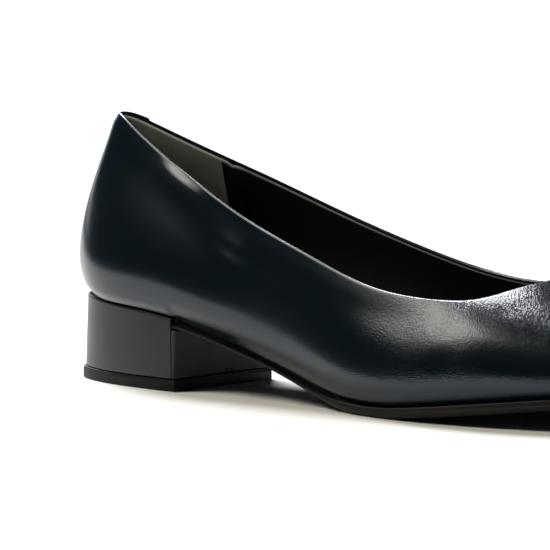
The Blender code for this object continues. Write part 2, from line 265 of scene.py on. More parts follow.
@dataclass
class Surface:
    """Points and quads of one piece, in millimetres from the back of the seat, with values per point."""

    points: Array
    faces: Array
    values: dict[str, Array] = field(default_factory=dict)
    uv: Array | None = None

    @classmethod
    def ring(cls, rows: Array, values: dict[str, Array], uv: Array | None, closed: bool = True) -> "Surface":
        """Tube round the shoe, its rows joined last to first.

        Args:
            rows: rows by stations by 3.
            values: rows by stations each, by name.
            uv: rows by stations by 2, or None.
            closed: joins the last station to the first.

        Returns:
            The tube as one surface.
        """
        faces = grid_faces(*rows.shape[:2], True, closed)
        flat = {key: value.reshape(-1) for key, value in values.items()}
        return cls(rows.reshape(-1, 3), faces, flat, None if uv is None else uv.reshape(-1, 2))

    @classmethod
    def stack(cls, loops: Array, across: int, low: Callable[[Array], Array], high: Callable[[Array], Array],
              dish: Callable[[Array, Array], Array] | None = None) -> "Surface":
        """Closed solid from closed plan loops one above the other, with a lid at each end.

        A loop starts at the back and has its front half way round, so point i faces point count - i. A
        rung joins each such pair, and its points are the straight blend of the two, lifted to the lid's
        height and, on the upper lid, lowered by the dish.

        Args:
            loops: loops by points by 3, from the lowest to the highest.
            across: number of steps along a rung.
            low: height of the lower lid at a distance along the shoe.
            high: height of the upper lid at a distance along the shoe.
            dish: how far the upper lid sinks at a distance along the shoe and a place 0 to 1 on a rung.

        Returns:
            The solid as one surface, with doubled points at the ends of its rungs.
        """
        levels, count = loops.shape[:2]
        near = np.arange(count // 2 + 1)
        far = (count - near) % count
        share = np.linspace(0, 1, across + 1)[None, :, None]
        parts = [loops.reshape(-1, 3)]
        faces = [grid_faces(levels, count, False, True)]
        first = levels * count
        for level, height, turn in ((0, low, 1), (levels - 1, high, -1)):
            loop = loops[level]
            rungs = loop[near][:, None] * (1 - share) + loop[far][:, None] * share
            inner = on_height(rungs, height)
            inner[:, 0], inner[:, -1] = loop[near], loop[far]
            if level and dish is not None:
                inner[..., 2] -= dish(inner[..., 0], share[..., 0])
            parts.append(inner.reshape(-1, 3))
            faces.append(grid_faces(len(near), across + 1, False, False)[:, ::turn] + first)
            first += inner.shape[0] * inner.shape[1]
        return cls(np.vstack(parts), np.vstack(faces))

    def build(self, name: str, merge: bool = False) -> bpy.types.Object:
        """Makes the object at the origin, smooth, with faces that point outward.

        Args:
            name: the object's name.
            merge: closes doubled points first.

        Returns:
            The new object.
        """
        mesh = bpy.data.meshes.new(name)
        places = ((self.points - (SEAT_TO_ORIGIN, 0, 0)) * MM).astype(np.float32)
        mesh.from_pydata(places.tolist(), [], self.faces.tolist())
        for key, value in self.values.items():
            layer = mesh.attributes.new(key, "FLOAT", "POINT")
            layer.data.foreach_set("value", value.astype(np.float32))
        if self.uv is not None:
            corners = np.empty(len(mesh.loops), np.int32)
            mesh.loops.foreach_get("vertex_index", corners)
            layer = mesh.uv_layers.new(name="run")
            layer.data.foreach_set("uv", self.uv[corners].astype(np.float32).ravel())
        turn_outward(mesh, merge)
        mesh.polygons.foreach_set("use_smooth", np.ones(len(mesh.polygons), bool))
        return add_object(name, mesh)


def dress(item: bpy.types.Object, material: bpy.types.Material, slot: Piece, *stands_for: Piece) -> None:
    """Gives a piece its finish, lets it ride on the shoe and hides the CAD nodes that it stands for.

    Args:
        item: the piece.
        material: its finish.
        slot: not used.
        stands_for: the nodes that it stands for.
    """
    item.data.materials.append(material)
    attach(item, "root")
    if stands_for:
        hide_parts(*[piece.value for piece in stands_for])
    log.info("%s: %d faces", item.name, len(item.data.polygons))


# ---- the form


@dataclass(frozen=True)
class ShoeForm:
    """The lasted form: sizes, section tables and the surfaces worked out from them."""

    length: float = 250.0
    ball_width: float = 80.0
    seat_height: float = 29.5
    ball_height: float = 3.6
    back_wall: float = 59.9
    instep_wall: float = 34.5
    margin: float = 9.6
    margin_ends: tuple[float, float] = (15.0, 228.0)
    margin_share: float = 0.62
    # edge_at, edge_outer, edge_inner, collar_at, collar_outer, collar_inner, wall_outer, wall_inner
    sections: tuple = (
        (0.010, 0.000, 0.000, 0.055, 0.000, 0.000, 1.000, 1.000),
        (0.034, 0.212, 0.212, 0.070, 0.092, 0.092, 0.985, 0.985),
        (0.088, 0.458, 0.458, 0.112, 0.195, 0.195, 0.826, 0.838),
        (0.168, 0.580, 0.575, 0.180, 0.328, 0.332, 0.571, 0.595),
        (0.256, 0.625, 0.590, 0.264, 0.472, 0.482, 0.343, 0.383),
        (0.356, 0.636, 0.520, 0.360, 0.595, 0.608, 0.226, 0.264),
        (0.458, 0.716, 0.588, 0.460, 0.688, 0.698, 0.170, 0.195),
        (0.560, 0.888, 0.798, 0.556, 0.755, 0.770, 0.048, 0.100),
        (0.656, 0.988, 0.960, 0.640, 0.770, 0.780, -0.100, -0.034),
        (0.756, 0.952, 0.998, 0.712, 0.680, 0.685, -0.176, -0.100),
        (0.852, 0.790, 0.890, 0.747, 0.435, 0.462, -0.090, -0.062),
        (0.932, 0.520, 0.680, 0.762, 0.218, 0.275, -0.037, -0.020),
        (0.982, 0.238, 0.405, 0.768, 0.055, 0.180, -0.008, -0.004),
        (1.000, -0.075, 0.075, 0.769, -0.062, 0.062, 0.000, 0.000),
    )
    # low_outer, low_inner, low_up, high_out, high_down
    fullness: tuple = (
        (8.1, 8.1, 15.8, 6.9, 19.8), (8.6, 8.6, 16.2, 6.0, 20.4), (7.6, 7.6, 15.7, 6.0, 19.8),
        (6.7, 6.7, 14.9, 6.4, 17.9), (6.5, 7.2, 15.0, 4.2, 17.0), (6.5, 9.0, 14.0, 4.0, 15.0),
        (6.0, 8.0, 13.0, 4.0, 12.0), (6.0, 6.2, 12.0, 5.0, 10.0), (5.6, 5.6, 12.0, 7.5, 8.5),
        (4.6, 4.6, 12.0, 13.0, 7.5), (3.8, 3.8, 12.0, 19.0, 7.5), (3.4, 3.4, 12.0, 22.0, 8.5),
        (3.2, 3.2, 12.0, 23.0, 9.0), (3.2, 3.2, 12.0, 23.5, 9.0),
    )
    # share of the length, height from 0 at the ball to 1 at the back
    bottom: tuple = (
        (0.000, 1.000), (0.096, 0.915), (0.180, 0.853), (0.264, 0.722), (0.344, 0.506), (0.432, 0.263),
        (0.520, 0.052), (0.600, 0.000), (0.680, 0.064), (0.800, 0.196), (1.000, 0.382),
    )
    waist_start: tuple[float, float] = (56.5, 60.5)
    # size at the foot and reach up the wall
    curl_in: tuple[float, float] = (4.0, 7.0)
    curl_down: tuple[float, float] = (2.8, 8.5)

    def edge_height(self, x: Array) -> Array:
        """Height of the bottom edge of the upper at a distance from the seat back.

        Args:
            x: distances from the seat back.

        Returns:
            A height per distance.
        """
        rows = np.array(self.bottom)
        heights = self.ball_height + rows[:, 1] * (self.seat_height - self.ball_height)
        return natural_spline(rows[:, 0] * self.length, heights, x)

    def table(self) -> Array:
        """Closed table, a row per station: edge x and y, collar x, y and z, and the four handles.

        Returns:
            Nine numbers per station, outer side first and the inner side back.
        """
        sections = np.array(self.sections)
        full = np.array(self.fullness)
        half = self.ball_width / 2
        wall = self.instep_wall + sections[:, 6:8] * (self.back_wall - self.instep_wall)
        collar_x = sections[:, 3] * self.length
        rise = self.edge_height(collar_x)
        sides = []
        for side in Side:
            column = 0 if side is Side.OUTER else 1
            sides.append(np.column_stack([
                sections[:, 0] * self.length,
                side.value * sections[:, 1 + column] * half,
                collar_x,
                side.value * sections[:, 4 + column] * half,
                rise + wall[:, column],
                full[:, column],
                full[:, 2:5],
            ]))
        return np.vstack([sides[0], sides[1][-2:0:-1]])

    def control_loops(self, stations: Array) -> list[Array]:
        """Bottom edge, its handle, the collar's handle and the collar, at the given stations.

        The handles stand off the edges along the plan normal and up or down, by the sizes in the table.

        Args:
            stations: station numbers, with fractions.

        Returns:
            Four arrays, a point per station.
        """
        dense = even_stations(1040)
        rows = periodic_spline(self.table(), dense)
        edge = np.column_stack([rows[:, 0], rows[:, 1], self.edge_height(rows[:, 0])])
        collar = rows[:, 2:5]
        low = edge + outward(edge) * rows[:, 5:6] + UP * rows[:, 6:7]
        high = collar + outward(collar) * rows[:, 7:8] - UP * rows[:, 8:9]
        spots = np.append(dense, STATIONS)
        at = np.mod(stations, STATIONS)
        loops = []
        for loop in (edge, low, high, collar):
            closed = np.vstack([loop, loop[:1]])
            loops.append(np.column_stack([np.interp(at, spots, closed[:, axis]) for axis in range(3)]))
        return loops

    def skin(self, stations: Array, shares: Array) -> Array:
        """Outer face of the upper: a cubic from the bottom edge, share 0, to the collar, share 1.

        Args:
            stations: a station per column.
            shares: a share per row, or an array of rows by columns.

        Returns:
            Rows by columns by 3.
        """
        edge, low, high, collar = (loop[None] for loop in self.control_loops(stations))
        share = np.broadcast_to(shares.reshape(len(shares), -1), (len(shares), len(stations)))[..., None]
        rest = 1 - share
        return rest**3 * edge + 3 * rest**2 * share * low + 3 * rest * share**2 * high + share**3 * collar

    def normal(self, stations: Array, shares: Array) -> Array:
        """Unit normal of the skin, from small steps along and across it.

        Args:
            stations: a station per column.
            shares: shares up the wall, as for the skin.

        Returns:
            Unit vectors, rows by columns by 3.
        """
        along = self.skin(stations + STEP, shares) - self.skin(stations - STEP, shares)
        across = self.skin(stations, shares + STEP) - self.skin(stations, shares - STEP)
        normal = np.cross(along, across)
        return normal / np.linalg.norm(normal, axis=2, keepdims=True)

    def inside(self, stations: Array, shares: Array, depth: float | Array) -> Array:
        """Points that lie a depth behind the skin, rows by columns by 3."""
        return self.skin(stations, shares) - self.normal(stations, shares) * depth

    def run(self, stations: Array) -> Array:
        """Unit direction in which the skin reaches its collar, a row per station."""
        run = np.diff(self.skin(stations, np.array([1 - STEP, 1.0])), axis=0)[0]
        return run / np.linalg.norm(run, axis=1, keepdims=True)

    def share_below(self, stations: Array, depth: Array) -> Array:
        """Share that lies a small depth below the collar: 1 - depth / (3 |collar - handle|)."""
        _, _, high, collar = self.control_loops(stations)
        return 1 - depth / (3 * np.linalg.norm(collar - high, axis=1))

    def wall_length(self, stations: Array) -> Array:
        """Length of the skin from its bottom edge to its collar, a value per station."""
        rows = self.skin(stations, np.linspace(0, 1, 40))
        return np.linalg.norm(np.diff(rows, axis=0), axis=2).sum(0)

    def wrap_uv(self, stations: Array, rows: int) -> Array:
        """Texture places of a ring: metres round the shoe at half height, and 0 to 1 up its rows.

        Args:
            stations: a station per column.
            rows: number of rows.

        Returns:
            Texture places, rows by columns by 2.
        """
        dense = np.linspace(0, STATIONS, 1041)
        line = self.skin(dense, np.array([0.5]))[0]
        length = np.interp(stations, dense, walked(*line.T)) * MM
        return np.stack(np.broadcast_arrays(length[None], np.linspace(0, 1, rows)[:, None]), -1)

    def waist(self, x: Array) -> Array:
        """How far a place lies in the waist, 0 to 1, between the heel's front and the ball."""
        return ease(x, *self.waist_start) * (1 - ease(x, *BALL_START))

    def curl(self, stations: Array, rise: Array) -> Array:
        """How the upper's foot curls in and down to the thin sole in the waist, rows by stations by 3.

        Both moves fade as (1 - rise / reach)^2 up the wall: in along the plan normal, and down.

        Args:
            stations: a station per column.
            rise: distance above the bottom edge, along the wall, rows by columns.

        Returns:
            Offsets in millimetres.
        """
        edge = self.control_loops(stations)[0]
        weight = self.waist(edge[:, 0])[None]
        inward, down = (size * weight * np.clip(1 - rise / reach, 0, 1) ** 2
                        for size, reach in (self.curl_in, self.curl_down))
        return -outward(edge)[None] * inward[..., None] - UP * down[..., None]

    def toward_axis(self, loop: Array, reach: float) -> Array:
        """Loop moved in toward the line between the two margin ends, by reach or most of the way.

        Args:
            loop: a closed loop.
            reach: how far it moves in.

        Returns:
            The moved loop.
        """
        spine = np.column_stack([np.clip(loop[:, 0], *self.margin_ends), np.zeros(len(loop)), loop[:, 2]])
        room = np.linalg.norm(spine - loop, axis=1, keepdims=True)
        return loop + (spine - loop) * np.minimum(reach / room, self.margin_share)


# ---- finishes


class Nodes:
    """Small helper that adds nodes to one tree and links them."""

    def __init__(self, tree: bpy.types.NodeTree) -> None:
        """Keeps the tree."""
        self.tree = tree

    def feed(self, target: bpy.types.NodeSocket, value: object) -> None:
        """Links a socket into the target, or sets the target's constant.

        Args:
            target: the input.
            value: an output or a constant.
        """
        if isinstance(value, bpy.types.NodeSocket):
            self.tree.links.new(value, target)
        else:
            target.default_value = value

    def add(self, kind: str, sockets: dict | None = None, **settings: object) -> bpy.types.Node:
        """Adds a node, sets its properties and feeds its sockets.

        Args:
            kind: the node's type name.
            sockets: what feeds each input, by name or number: a socket or a constant.
            settings: properties by name.

        Returns:
            The new node.
        """
        node = self.tree.nodes.new(kind)
        for key, value in settings.items():
            setattr(node, key, value)
        for key, value in (sockets or {}).items():
            self.feed(node.inputs[key], value)
        return node

    def math(self, operation: str, *operands: object) -> bpy.types.NodeSocket:
        """Adds a Math node whose operands are sockets or numbers, and returns its result."""
        return self.add("ShaderNodeMath", dict(enumerate(operands)), operation=operation).outputs[0]

    def mix(self, kind: str, share: bpy.types.NodeSocket, one: object, two: object) -> bpy.types.NodeSocket:
        """Blends two values or colours by a share, and returns the result."""
        sockets = {"Factor": share, "A": one, "B": two}
        return self.add("ShaderNodeMix", sockets, data_type=kind).outputs["Result"]

    def value(self, name: str) -> bpy.types.NodeSocket:
        """Reads one of the mesh's values per point."""
        return self.add("ShaderNodeAttribute", attribute_name=name).outputs["Fac"]

    def group(self, name: str, sockets: dict) -> bpy.types.bpy_prop_collection:
        """Adds one of the shared node groups, and returns its outputs."""
        return self.add("ShaderNodeGroup", sockets, node_tree=bpy.data.node_groups[name]).outputs

    def spread(self, value: bpy.types.NodeSocket, low: float, high: float, to_low: float = 0.0,
               to_high: float = 1.0) -> bpy.types.NodeSocket:
        """Maps a value smoothly from one range to another and holds it there."""
        sockets = {"Value": value, "From Min": low, "From Max": high, "To Min": to_low, "To Max": to_high}
        return self.add("ShaderNodeMapRange", sockets, interpolation_type="SMOOTHSTEP").outputs["Result"]

    def noise(self, where: bpy.types.NodeSocket, scale: object, detail: float, rough: float = 0.55,
              warp: float = 0.0) -> bpy.types.NodeSocket:
        """Adds a Noise node read at a place, and returns its value."""
        sockets = {"Vector": where, "Scale": scale, "Detail": detail, "Roughness": rough, "Distortion": warp}
        return self.add("ShaderNodeTexNoise", sockets).outputs[0]


def open_group(name: str, inputs: dict[str, float], outputs: Sequence[str]) -> tuple:
    """Starts a shader node group with a place vector and named value sockets.

    Args:
        name: the group's name.
        inputs: default of each value input, by name.
        outputs: names of its values.

    Returns:
        The group's helper, its inputs and its outputs, by name.
    """
    group = bpy.data.node_groups.new(name, "ShaderNodeTree")
    group.interface.new_socket(name="Place", in_out="INPUT", socket_type="NodeSocketVector")
    for label, value in inputs.items():
        socket = group.interface.new_socket(name=label, in_out="INPUT", socket_type="NodeSocketFloat")
        socket.default_value = value
    for label in outputs:
        group.interface.new_socket(name=label, in_out="OUTPUT", socket_type="NodeSocketFloat")
    nodes = Nodes(group)
    return nodes, nodes.add("NodeGroupInput").outputs, nodes.add("NodeGroupOutput").inputs


def make_grain_group() -> None:
    """Leather grain: small rounded pebbles with fine pores between them, and slow patches of depth.

    Height is depth * patches * (pebble + 0.35 * pores), pebble being a smooth Voronoi distance on places
    warped a little by noise. Shade is 0 in the cracks and 1 on the pebbles.
    """
    nodes, given, made = open_group("fine_grain", {"Scale": 1300.0, "Depth": 1.0}, ("Height", "Shade"))
    place = given["Place"]
    warp = nodes.add("ShaderNodeTexNoise", {"Vector": place, "Scale": 700.0, "Detail": 2.0})
    shift = nodes.add("ShaderNodeVectorMath", {0: warp.outputs["Color"], 1: (0.00025,) * 3, 2: place},
                      operation="MULTIPLY_ADD")
    sockets = {"Vector": shift.outputs[0], "Scale": given["Scale"], "Smoothness": 0.5}
    cell = nodes.add("ShaderNodeTexVoronoi", sockets, feature="SMOOTH_F1")
    pebble = nodes.spread(cell.outputs["Distance"], 0.05, 0.75, 1.0, 0.0)
    pores = nodes.noise(place, 2600.0, 3.0, 0.6)
    patches = nodes.spread(nodes.noise(place, 60.0, 2.0), 0.3, 0.7, 0.55, 1.0)
    height = nodes.math("MULTIPLY", nodes.math("MULTIPLY_ADD", pores, 0.35, pebble), patches)
    nodes.feed(made["Height"], nodes.math("MULTIPLY", height, given["Depth"]))
    nodes.feed(made["Shade"], pebble)


def make_patch_group() -> None:
    """Slow cloudy change over a surface: noise of several sizes, spread to 0 to 1."""
    nodes, given, made = open_group("soft_patches", {"Scale": 30.0}, ("Value",))
    slow = nodes.noise(given["Place"], given["Scale"], 4.0, 0.6, 0.4)
    nodes.feed(made["Value"], nodes.spread(slow, 0.3, 0.7))


def make_band_group() -> None:
    """Level bands up a piece: a sine of the height, blurred by noise, for pressed layers in rubber."""
    nodes, given, made = open_group("level_bands", {"Pitch": 0.0009}, ("Height",))
    split = nodes.add("ShaderNodeSeparateXYZ", {0: given["Place"]})
    blur = nodes.noise(given["Place"], 40.0, 2.0)
    level = nodes.math("MULTIPLY_ADD", blur, 0.0006, split.outputs["Z"])
    turn = nodes.math("DIVIDE", level, given["Pitch"])
    wave = nodes.math("SINE", nodes.math("MULTIPLY", turn, 2 * math.pi))
    nodes.feed(made["Height"], nodes.spread(wave, -1.0, -0.2))


@dataclass(frozen=True)
class Finish:
    """A dressed surface: colours, gloss and grain. Sizes of relief are millimetres."""

    name: str
    dark: Colour
    light: Colour
    roughness: float
    roughness_spread: float = 0.05
    specular: float = 0.5
    tint: Colour = (1.0, 1.0, 1.0)
    sheen: float = 0.0
    sheen_tint: Colour = (1.0, 1.0, 1.0)
    grain_scale: float = 1300.0
    grain_depth: float = 0.02
    grain_value: str = ""
    patch_scale: float = 30.0
    bands: float = 0.0
    edge_value: str = ""
    edge_colour: Colour = (0.0, 0.0, 0.0)
    edge_roughness: float = 0.8

    def build(self) -> bpy.types.Material:
        """Makes the material: patches blend the two colours, grain feeds the bump and the shade.

        Returns:
            The new material.
        """
        material = bpy.data.materials.new(self.name)
        material.use_nodes = True
        nodes = Nodes(material.node_tree)
        place = nodes.add("ShaderNodeTexCoord").outputs["Object"]
        patch = nodes.group("soft_patches", {"Place": place, "Scale": self.patch_scale})[0]
        depth = nodes.value(self.grain_value) if self.grain_value else 1.0
        grain = nodes.group("fine_grain", {"Place": place, "Scale": self.grain_scale, "Depth": depth})
        shade = nodes.math("MULTIPLY_ADD", grain["Shade"], 0.35, nodes.math("MULTIPLY", patch, 0.65))
        colour = nodes.mix("RGBA", shade, (*self.dark, 1), (*self.light, 1))
        rough = nodes.spread(patch, 0.0, 1.0, self.roughness + self.roughness_spread,
                             self.roughness - self.roughness_spread)
        # the edge colour goes on along a mesh value: on the linings a lighter top edge, raw cut tone with a
        # painted highlight, and on the outsole a painted highlight line
        if self.edge_value:
            edge = nodes.value(self.edge_value)
            colour = nodes.mix("RGBA", edge, colour, (*self.edge_colour, 1))
            rough = nodes.mix("FLOAT", edge, rough, self.edge_roughness)
        height = grain["Height"]
        if self.bands:
            bands = nodes.group("level_bands", {"Place": place})["Height"]
            height = nodes.math("MULTIPLY_ADD", bands, self.bands / self.grain_depth, height)
        bump = nodes.add("ShaderNodeBump", {"Height": height, "Strength": 1.0,
                                            "Distance": self.grain_depth * MM})
        shader = material.node_tree.nodes["Principled BSDF"]
        for key, value in (("Normal", bump.outputs["Normal"]), ("Base Color", colour), ("Roughness", rough),
                           ("Specular IOR Level", self.specular), ("Specular Tint", (*self.tint, 1)),
                           ("Sheen Weight", self.sheen), ("Sheen Tint", (*self.sheen_tint, 1))):
            nodes.feed(shader.inputs[key], value)
        return material


NAVY = Finish("navy_smooth_leather", (0.0010, 0.0036, 0.0062), (0.0022, 0.0062, 0.0098), 0.21, 0.02,
              grain_scale=1900.0, grain_depth=0.02, grain_value="grain", tint=(0.80, 0.87, 1.0))
COVER = Finish("heel_cover_leather", (0.005, 0.0048, 0.0072), (0.007, 0.0066, 0.0095), 0.30, 0.03,
               specular=0.30, tint=(0.94, 0.92, 1.0), grain_scale=1700.0, grain_depth=0.008)
BREAST = Finish("breast_cover_leather", (0.026, 0.026, 0.027), (0.034, 0.034, 0.035), 0.7, 0.04,
                specular=0.22, grain_scale=1700.0, grain_depth=0.008)
# black lining; its cut top edge is painted a lighter grey, partly the raw edge's own tone and partly a painted
# highlight of the light falling on that edge
LINING = Finish("black_lining_leather", (0.0026, 0.0026, 0.0027), (0.0040, 0.0040, 0.0041), 0.55, 0.05,
                specular=0.35, grain_depth=0.01, edge_value="raw_edge_and_highlight", edge_colour=(0.30, 0.30, 0.28))
# olive suede grip; its top edge is painted lighter on the same edge values, raw edge tone together with a
# painted highlight
SUEDE = Finish("olive_grip_suede", (0.21, 0.217, 0.172), (0.34, 0.346, 0.280), 0.9, 0.05, specular=0.2,
               sheen=0.15, sheen_tint=(0.6, 0.6, 0.5), grain_scale=2600.0, grain_depth=0.02, patch_scale=90.0,
               edge_value="raw_edge_and_highlight", edge_colour=(0.6, 0.6, 0.54))
SOCK = Finish("black_sock_leather", (0.003, 0.003, 0.0032), (0.005, 0.005, 0.0052), 0.5, 0.05,
              grain_depth=0.012)
# dark rubber; its paler brown edge colour is a painted highlight line along the top of the edge, on the 'rim'
# values
SOLE = Finish("dark_sole_rubber", (0.0045, 0.0040, 0.0036), (0.0065, 0.0058, 0.0050), 0.5, 0.05,
              specular=0.25, grain_scale=2200.0, grain_depth=0.012, edge_value="rim",
              edge_colour=(0.045, 0.032, 0.022), edge_roughness=0.45)
RUBBER = Finish("black_lift_rubber", (0.0015, 0.0015, 0.0015), (0.0028, 0.0028, 0.0028), 0.5, 0.05,
                specular=0.17, grain_scale=2200.0, grain_depth=0.012, bands=0.03)
FLOOR = Finish("pale_studio_floor", (0.80, 0.80, 0.80), (0.80, 0.80, 0.80), 0.9, 0.0, specular=0.0,
               grain_depth=0.0001)


# ---- upper


@dataclass
class Upper:
    """Leather of the upper: folded collar, back lap, lasted bottom edge and turned-in margin."""

    form: ShoeForm
    columns: int = 720
    rows: int = 88
    leather: float = 1.0
    fold: float = 1.55
    fold_depth: float = 1.25
    roll: float = 0.75
    roll_rows: int = 9
    inside_rows: int = 16
    lap_station: float = 24.45
    lap_reach: float = 1.7
    lap_step: float = 0.8
    lap_rise: float = 0.45
    margin_thick: float = 1.5
    # height, station and its width, depth under the collar and its width
    waves: tuple = (
        (0.08, 5.0, 1.2, 4.2, 3.0), (0.12, 22.6, 1.0, 4.2, 3.0),  # the folded edge over the swell
        (-0.10, 4.3, 1.6, 12.0, 5.0),  # trough under it
        (0.80, 4.75, 0.40, 9.2, 3.8), (0.10, 5.5, 0.5, 9.0, 3.5), (0.06, 2.2, 0.5, 22.0, 8.0),
    )
    creases: tuple[float, ...] = (8.1, 8.9, 17.6, 18.1)
    ankle: float = 3.45
    topline: float = 8.1

    def stations(self) -> Array:
        """Even stations, with a few more close to the edge of the back lap."""
        near = self.lap_station + np.array([-0.03, -0.015, -0.005, 0.005, 0.015, 0.03])
        return np.sort(np.concatenate([even_stations(self.columns), near]))

    def lap(self, stations: Array) -> Array:
        """Lap thickness as a share: 1 at its edge, fading round the back to the outer side.

        Args:
            stations: station numbers, with fractions.

        Returns:
            A share per station.
        """
        past = np.mod(stations - self.lap_station, STATIONS)
        fade = np.clip(1 - past / self.lap_reach, 0, 1) ** 0.8
        return fade * ease(round_station(stations, self.lap_station), -0.012, 0.012)

    def relief(self, stations: Array, shares: Array) -> Array:
        """Soft creases and swells of the worn-in leather, in millimetres outward, rows by stations.

        Each is a product of a hill along the shoe and a hill up the wall.

        Args:
            stations: a station per column.
            shares: rows by columns of shares.

        Returns:
            Rows by columns of offsets.
        """
        depth = (1 - shares) * self.form.wall_length(stations)[None]
        at = stations[None]
        # the folded edge swells a little just under the collar, most where the ankle leans on it
        ankle = hill(at, self.ankle, np.where(at < self.ankle, 0.34, 0.52))
        out = (0.10 + 0.20 * ankle) * hill(depth, 4.2, 3.0)
        for height, station, along, middle, across in self.waves:
            out += height * hill(at, station, along) * hill(depth, middle, across)
        # faint toe-bend creases low on the vamp, on both sides
        for centre in self.creases:
            out -= 0.03 * hill(at, centre, 0.17) * hill(shares, 0.62, 0.22)
        out = out * ease(shares, 0.05, 0.2) * ease(1 - shares, -0.001, 0.01)
        # above the swell the wall turns in to the fold, and the collar is softly rounded at the back
        side = np.abs(round_station(at))
        out -= 0.72 * ankle * np.clip(1 - depth / 2.1, 0, 1) ** 1.35
        out -= 0.45 * hill(side, 0.0, 1.6) * (1 - ease(depth, 0.0, 3.0))
        # beside the vamp the topline stands up a little and the leather under it dips in
        dip = 1 - np.exp(-((np.maximum(depth, 0) / 5.0) ** 1.5))
        stand = hill(side, self.topline, 1.15) * hill(depth, 0.0, 22.0) * ease(shares, 0.0, 0.3)
        out += stand * (0.70 - 1.30 * dip)
        # the lasted foot of the quarter is fuller low down, most in the waist
        low = 0.38 + 0.34 * ease(side, 3.4, 4.6) - 0.12 * ease(side, 7.0, 8.2) - 0.35 * ease(side, 9.5, 12.0)
        return out + low * hill(shares, 0.18, 0.15) + 0.95 * hill(side, 5.65, 1.1) * hill(shares, 0.28, 0.22)

    def grain(self, stations: Array) -> Array:
        """Strength of the leather's grain, fine on the quarters and clearer over the vamp."""
        return 0.45 + 2.2 * ease(np.abs(round_station(stations)), 6.6, 8.2)

    def build(self) -> bpy.types.Object:
        """Makes the leather as one closed ring of rows, from the bottom edge up, over and down inside.

        Returns:
            The new piece.
        """
        form = self.form
        at = self.stations()
        edge = form.control_loops(at)[0]
        away = outward(edge)
        lap = self.lap(at)
        shares = np.linspace(0.05, 1, self.rows) ** 0.95
        shares = np.broadcast_to(shares[:, None], (self.rows, len(at)))
        outer = form.inside(at, shares, -(self.lap_step * lap + self.relief(at, shares))[..., None])
        outer += form.curl(at, shares * form.wall_length(at)[None])
        foot = form.curl(at, np.zeros((1, len(at))))[0]

        # fold: half an ellipse from the outer face over to the inner face
        lifted = (self.roll + self.lap_rise * lap)[:, None] * form.run(at)
        inner_top = form.inside(at, np.ones((1, len(at))), self.fold)[0]
        angle = np.linspace(0, np.pi, self.roll_rows + 2)[1:-1, None, None]
        middle, arm = (outer[-1] + inner_top) / 2, (outer[-1] - inner_top) / 2
        rolled = middle + arm * np.cos(angle) + lifted * np.sin(angle)

        # inside: folded strip first, then a small step back to the single leather, down to the margin
        depths = np.append(np.linspace(0.15, self.fold_depth, 4), self.fold_depth + np.array([0.12, 0.25]))
        offsets = np.array([1, 1, 1, 0.97, 0.6, 0.0]) * (self.fold - self.leather) + self.leather
        near = np.stack([form.share_below(at, depth) for depth in depths])
        inside = form.inside(at, near, offsets[:, None, None])
        down = np.linspace(0, 1, self.inside_rows)[1:, None]
        deep = form.inside(at, near[-1] * (1 - down) + 0.10 * down, self.leather)

        height = form.edge_height
        margin_low = on_height(form.toward_axis(edge, form.margin), height)
        under = on_height(edge - away * 1.3, height) + foot
        turn = on_height(edge - away * 0.75, height) + UP * 0.10 + foot
        turn2 = edge - away * 0.32 + UP * 0.38 + foot
        corner = on_height(edge - away * 1.5, height) + UP * self.margin_thick
        rows = np.concatenate([[under, turn, turn2], outer, rolled, inside, deep,
                               [corner, margin_low + UP * self.margin_thick, margin_low]])
        grain = np.broadcast_to(self.grain(at)[None], rows.shape[:2])
        return Surface.ring(rows, {"grain": grain}, form.wrap_uv(at, len(rows))).build("upper_leather")


